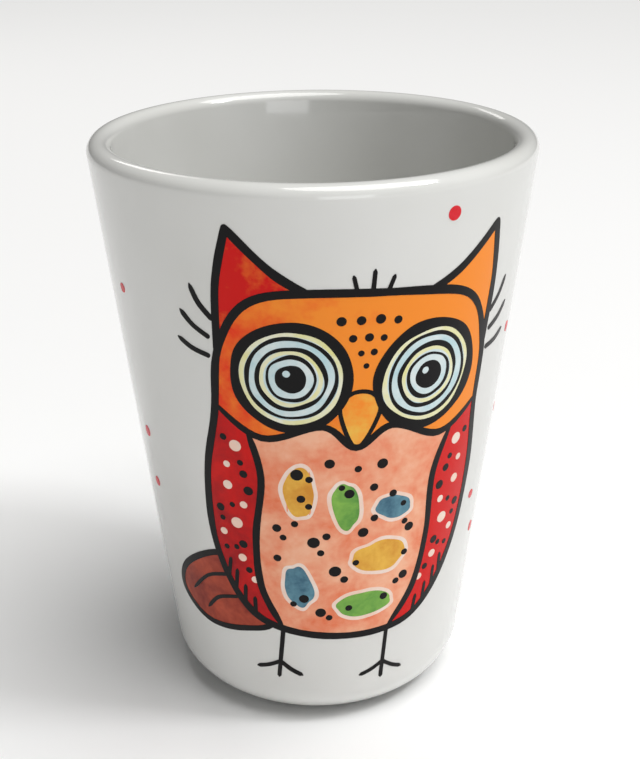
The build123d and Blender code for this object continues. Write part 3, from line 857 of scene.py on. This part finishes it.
class SHOTCUP_OT_lines(ShotCupOperator, bpy.types.Operator):
    """Draw the black brush lines over the washes"""
    bl_idname = "shotcup.lines"
    bl_label = "Brush Lines"

    def execute(self, context):
        inks, sheet = settings()
        layout = context.scene.print_sizes
        heavy, fine = layout.line, layout.fine
        loops = brush(smooth(FIGURE, True), heavy, closed=True, seed=1.0)
        loops += brush(smooth(FACE), heavy * 0.85, seed=2.0)
        hidden = brush(smooth(TAIL, True), heavy * 0.85, closed=True, seed=3.0)
        for quill in TAIL_QUILLS:
            hidden += brush(smooth(quill), fine, (0.9, 0.3), seed=4.0)
        loops += brush(smooth(BEAK, True), fine, closed=True, seed=5.0)
        for stroke in CROWN:
            loops += brush(smooth(stroke), fine, (0.9, 0.5), seed=6.0)
        for side in (1, -1):
            def over(points):
                return smooth([(side * across, up) for across, up in points])

            loops += brush(over(WING), heavy * 0.9, seed=7.0 + side)
            loops += brush(over(EAR[:3]), heavy, (0.8, 0.9), seed=9.0 + side)
            loops += brush(over(EAR[2:]), heavy, (0.9, 0.8), seed=11.0 + side)
            eye = oval(side * EYE[0], EYE[1], EYE_RADIUS, wobble=0.02, seed=side)
            loops += brush(eye, heavy * 1.2, closed=True, seed=13.0 + side, wobble=0.4)
            loops += brush([(side * LEG_ACROSS, LEG_TOP), (side * LEG_ACROSS, ANKLE)], fine * 1.1, (1.0, 1.0))
            for across, up in TOES:
                leg = side * LEG_ACROSS
                toe = [(leg, ANKLE), (leg + across * 0.5, ANKLE + (up - ANKLE) * 0.6), (leg + across, up)]
                loops += brush(smooth(toe), fine * 1.1, (1.0, 0.4), seed=across)
            for quill in WING_QUILLS:
                loops += brush(over(quill), fine, (1.0, 0.3), seed=15.0 + side)
            for cheek in CHEEKS:
                loops += brush(over(cheek), fine * 1.3, (1.0, 0.2), seed=17.0 + side)
        outlines = [("line", loop) for loop in loops] + [("behind", loop) for loop in hidden]
        outlines.append(("figure", smooth(FIGURE, True)))

        def choose(covers):
            return "line" if "line" in covers or covers == {"behind"} else None

        areas = cut_areas(sheet, outlines, choose)
        piece = lay_film("brush_lines", sheet, areas["line"], THICK["line"],
                         ink_finish("line_ink", inks.black, inks.black, depth=0.4))
        settle(piece, "print_black_lines")
        return {"FINISHED"}


class SHOTCUP_OT_dots(ShotCupOperator, bpy.types.Operator):
    """Dab the dots of the brow, belly and wings, and the loose dots round the owl"""
    bl_idname = "shotcup.dots"
    bl_label = "Dots"

    def execute(self, context):
        inks, sheet = settings()
        layout = context.scene.print_sizes

        def sides(places):
            return [(side * across, up, radius) for side in (1, -1) for across, up, radius in places]

        piece = lay_dots("black_dots", sheet, BROW_DOTS + BELLY_DOTS + sides(WING_SPECKS), THICK["dot"],
                         ink_finish("dot_ink", inks.black, inks.black))
        settle(piece, "print_dots_black")
        piece = lay_dots("pale_dots", sheet, sides(WING_DOTS), THICK["dot"],
                         ink_finish("pale_ink", inks.pale, inks.peach, depth=1.6))
        settle(piece, "print_dots_white")
        tilt = layout.owl_tilt
        loose = []
        for x, y, radius in LOOSE_DOTS:
            right, rise = x - layout.owl_x / MM, y - layout.owl_y / MM
            loose.append((right * cos(tilt) - rise * sin(tilt), right * sin(tilt) + rise * cos(tilt), radius))
        piece = lay_dots("loose_dots", sheet, loose, THICK["dot"],
                         ink_finish("pink_ink", inks.pink, inks.red))
        settle(piece, "print_dots_pink")
        return {"FINISHED"}


def area_light(name, place, target, size, energy, shade):
    """A square soft light that faces a target."""
    light = bpy.data.lights.new(name, "AREA")
    light.size, light.energy, light.color = size, energy, shade
    lamp = bpy.data.objects.new(name, light)
    lamp.location = place
    lamp.rotation_euler = (Vector(target) - Vector(place)).to_track_quat("-Z", "Y").to_euler()
    bpy.context.scene.collection.objects.link(lamp)


class SHOTCUP_OT_stage(ShotCupOperator, bpy.types.Operator):
    """Set the floor, the lights and the camera"""
    bl_idname = "shotcup.stage"
    bl_label = "Stage"

    def execute(self, context):
        scene, stage = context.scene, context.scene.stage_settings
        half = stage.floor_size / 2
        mesh = bpy.data.meshes.new("floor")
        corners = [(-half, -half, 0), (half, -half, 0), (half, half, 0), (-half, half, 0)]
        mesh.from_pydata(corners, [], [(0, 1, 2, 3)])
        material, _, shader = surface("floor_paint", 0.9)
        shader.inputs["Base Color"].default_value = (*stage.floor_colour, 1.0)
        mesh.materials.append(material)
        ground = bpy.data.objects.new("floor", mesh)
        scene.collection.objects.link(ground)

        middle = (0.0, 0.0, cup_height / 2)
        area_light("key", (0.34, -0.10, 0.48), middle, 0.09, 0.85, (0.98, 0.99, 1.0))
        area_light("fill", (0.15, -0.54, 0.09), middle, 0.26, 0.48, (0.98, 0.99, 1.0))
        area_light("rim", (-0.16, 0.42, 0.34), middle, 0.12, 0.12, (1.0, 0.98, 0.95))
        overhead = bpy.data.lights.new("overhead", "SUN")
        overhead.energy, overhead.angle, overhead.color = 2.4, radians(48.0), (1.0, 0.995, 0.98)
        lamp = bpy.data.objects.new("overhead", overhead)
        lamp.rotation_euler = (radians(6.0), radians(15.0), 0.0)
        scene.collection.objects.link(lamp)
        world = bpy.data.worlds.new("studio")
        world.use_nodes = True
        background = world.node_tree.nodes["Background"]
        background.inputs["Color"].default_value = (1.0, 1.0, 1.0, 1.0)
        background.inputs["Strength"].default_value = 0.08
        scene.world = world
        scene.view_settings.view_transform = "Standard"

        lens = bpy.data.cameras.new("camera")
        lens.lens, lens.sensor_width, lens.shift_x = stage.focal_length, 36.0, stage.shift
        lens.clip_start, lens.clip_end = 0.005, 20.0
        camera = bpy.data.objects.new("camera", lens)
        rise = stage.elevation
        camera.location = (0.0, -stage.distance * cos(rise), stage.target_height + stage.distance * sin(rise))
        level = Euler((pi / 2 - rise, 0.0, 0.0)).to_matrix()
        camera.rotation_euler = (level @ Euler((0.0, 0.0, stage.roll)).to_matrix()).to_euler()
        scene.collection.objects.link(camera)
        scene.camera = camera
        return {"FINISHED"}


STEPS = (SHOTCUP_OT_glaze, SHOTCUP_OT_washes, SHOTCUP_OT_patches, SHOTCUP_OT_eyes, SHOTCUP_OT_lines,
         SHOTCUP_OT_dots, SHOTCUP_OT_stage)
GROUPS = {"cup_sizes": CupSizes, "print_sizes": PrintSizes, "ink_colours": InkColours,
          "stage_settings": StageSettings}


class SHOTCUP_PT_panel(bpy.types.Panel):
    """The cup's steps and settings"""
    bl_idname = "SHOTCUP_PT_panel"
    bl_label = "Shot Cup"
    bl_space_type = "VIEW_3D"
    bl_region_type = "UI"
    bl_category = "Shot Cup"

    def draw(self, context):
        for step in STEPS:
            self.layout.operator(step.bl_idname)
        for group, kind in GROUPS.items():
            box = self.layout.box()
            for name in kind.__annotations__:
                box.prop(getattr(context.scene, group), name)


def register():
    for group in (*GROUPS.values(), *STEPS, SHOTCUP_PT_panel):
        bpy.utils.register_class(group)
    for name, kind in GROUPS.items():
        setattr(bpy.types.Scene, name, PointerProperty(type=kind))


def unregister():
    for name in GROUPS:
        delattr(bpy.types.Scene, name)
    for group in (SHOTCUP_PT_panel, *STEPS[::-1], *reversed(GROUPS.values())):
        bpy.utils.unregister_class(group)


def main():
    register()
    for step in (bpy.ops.shotcup.glaze, bpy.ops.shotcup.washes, bpy.ops.shotcup.patches, bpy.ops.shotcup.eyes,
                 bpy.ops.shotcup.lines, bpy.ops.shotcup.dots, bpy.ops.shotcup.stage):
        step()


if __name__ == "__main__":
    main()
